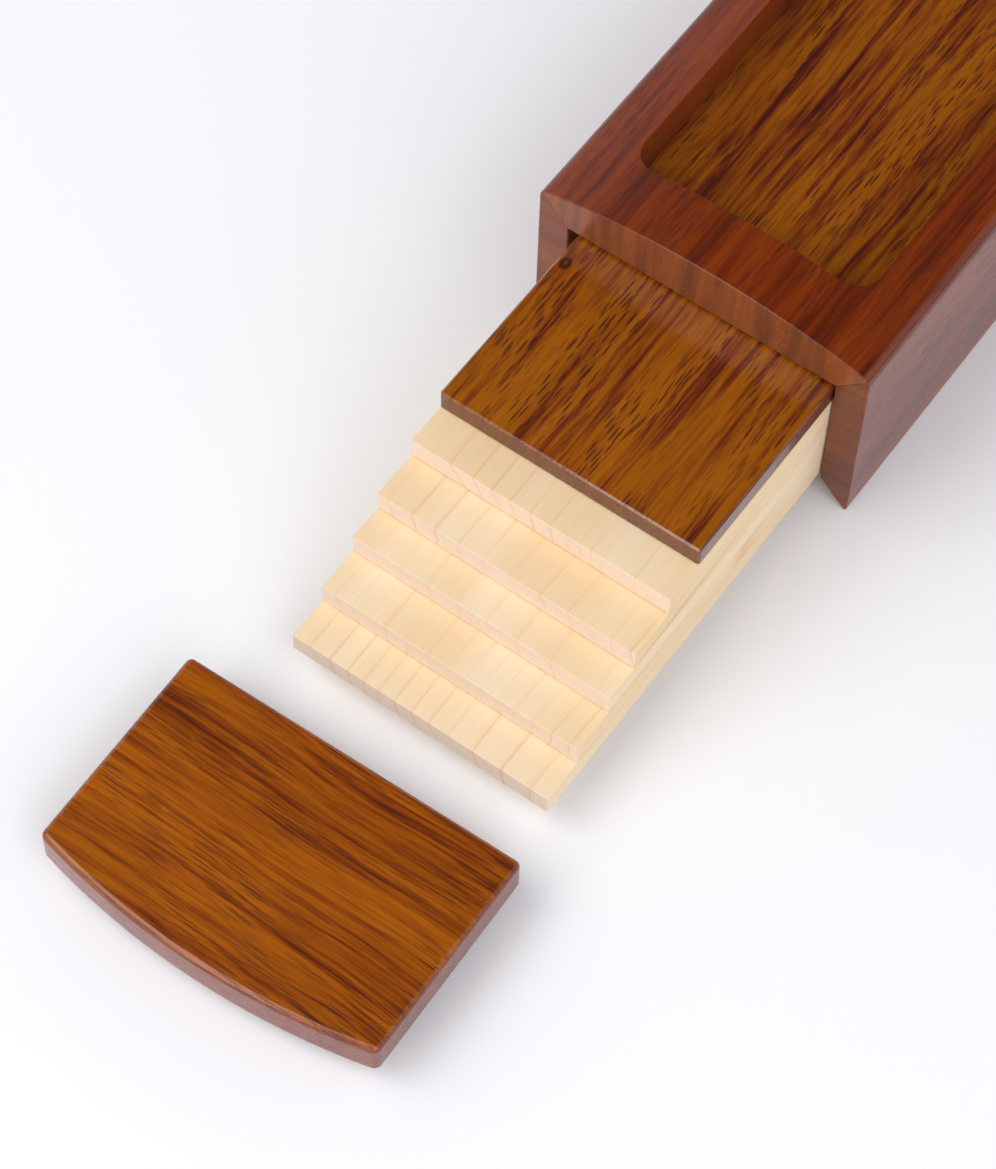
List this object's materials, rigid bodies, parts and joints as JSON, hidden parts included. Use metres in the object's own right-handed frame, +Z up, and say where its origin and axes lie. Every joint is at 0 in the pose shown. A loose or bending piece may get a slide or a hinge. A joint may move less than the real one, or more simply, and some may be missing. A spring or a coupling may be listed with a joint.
{
  "type": "wooden tablet case with sliding boards",
  "caption": "Small arched-front wooden case with a window, a stack of thin boards fanned out of its open end, and its loose end cap beside it.",
  "frame": {"origin": "middle of the case's back, the flat face that it rests on", "axes": "+X across the case, +Y from the open end towards the fixed head plate, +Z up, out of the arched front"},
  "size_m": [0.0605, 0.2539, 0.0385],
  "materials": {
    "case_wood": "dark red-brown hardwood, satin lacquer",
    "cap_wood": "dark golden-brown hardwood, satin lacquer",
    "front_board_wood": "dark figured hardwood, gloss lacquer",
    "name_board_wood": "pale straight-grained softwood, planed and bare"
  },
  "bodies": {
    "case": {"front_panel": "case_wood", "left_side_panel": "case_wood", "right_side_panel": "case_wood", "back_panel": "case_wood", "head_plate": "case_wood"},
    "base_cap": {"base_cap_plate": "cap_wood", "base_cap_block": "cap_wood"},
    "front_board": {"front_board": "front_board_wood"},
    "name_board_1": {"name_board_1": "name_board_wood"},
    "name_board_2": {"name_board_2": "name_board_wood"},
    "name_board_3": {"name_board_3": "name_board_wood"},
    "name_board_4": {"name_board_4": "name_board_wood"},
    "name_board_5": {"name_board_5": "name_board_wood"}
  },
  "joints": [
    {"name": "base_cap_slide", "type": "slide", "parent": "case", "child": "base_cap", "axis": [0, -1, 0], "range_m": [0, 0.06]},
    {"name": "front_board_slide", "type": "slide", "parent": "case", "child": "front_board", "axis": [0, -1, 0], "range_m": [-0.039, 0.0455]},
    {"name": "name_board_1_slide", "type": "slide", "parent": "case", "child": "name_board_1", "axis": [0, -1, 0], "range_m": [-0.0461, 0.0384]},
    {"name": "name_board_2_slide", "type": "slide", "parent": "case", "child": "name_board_2", "axis": [0, -1, 0], "range_m": [-0.0543, 0.0302]},
    {"name": "name_board_3_slide", "type": "slide", "parent": "case", "child": "name_board_3", "axis": [0, -1, 0], "range_m": [-0.0604, 0.0241]},
    {"name": "name_board_4_slide", "type": "slide", "parent": "case", "child": "name_board_4", "axis": [0, -1, 0], "range_m": [-0.0679, 0.0166]},
    {"name": "name_board_5_slide", "type": "slide", "parent": "case", "child": "name_board_5", "axis": [0, -1, 0], "range_m": [-0.0751, 0.0094]}
  ]
}
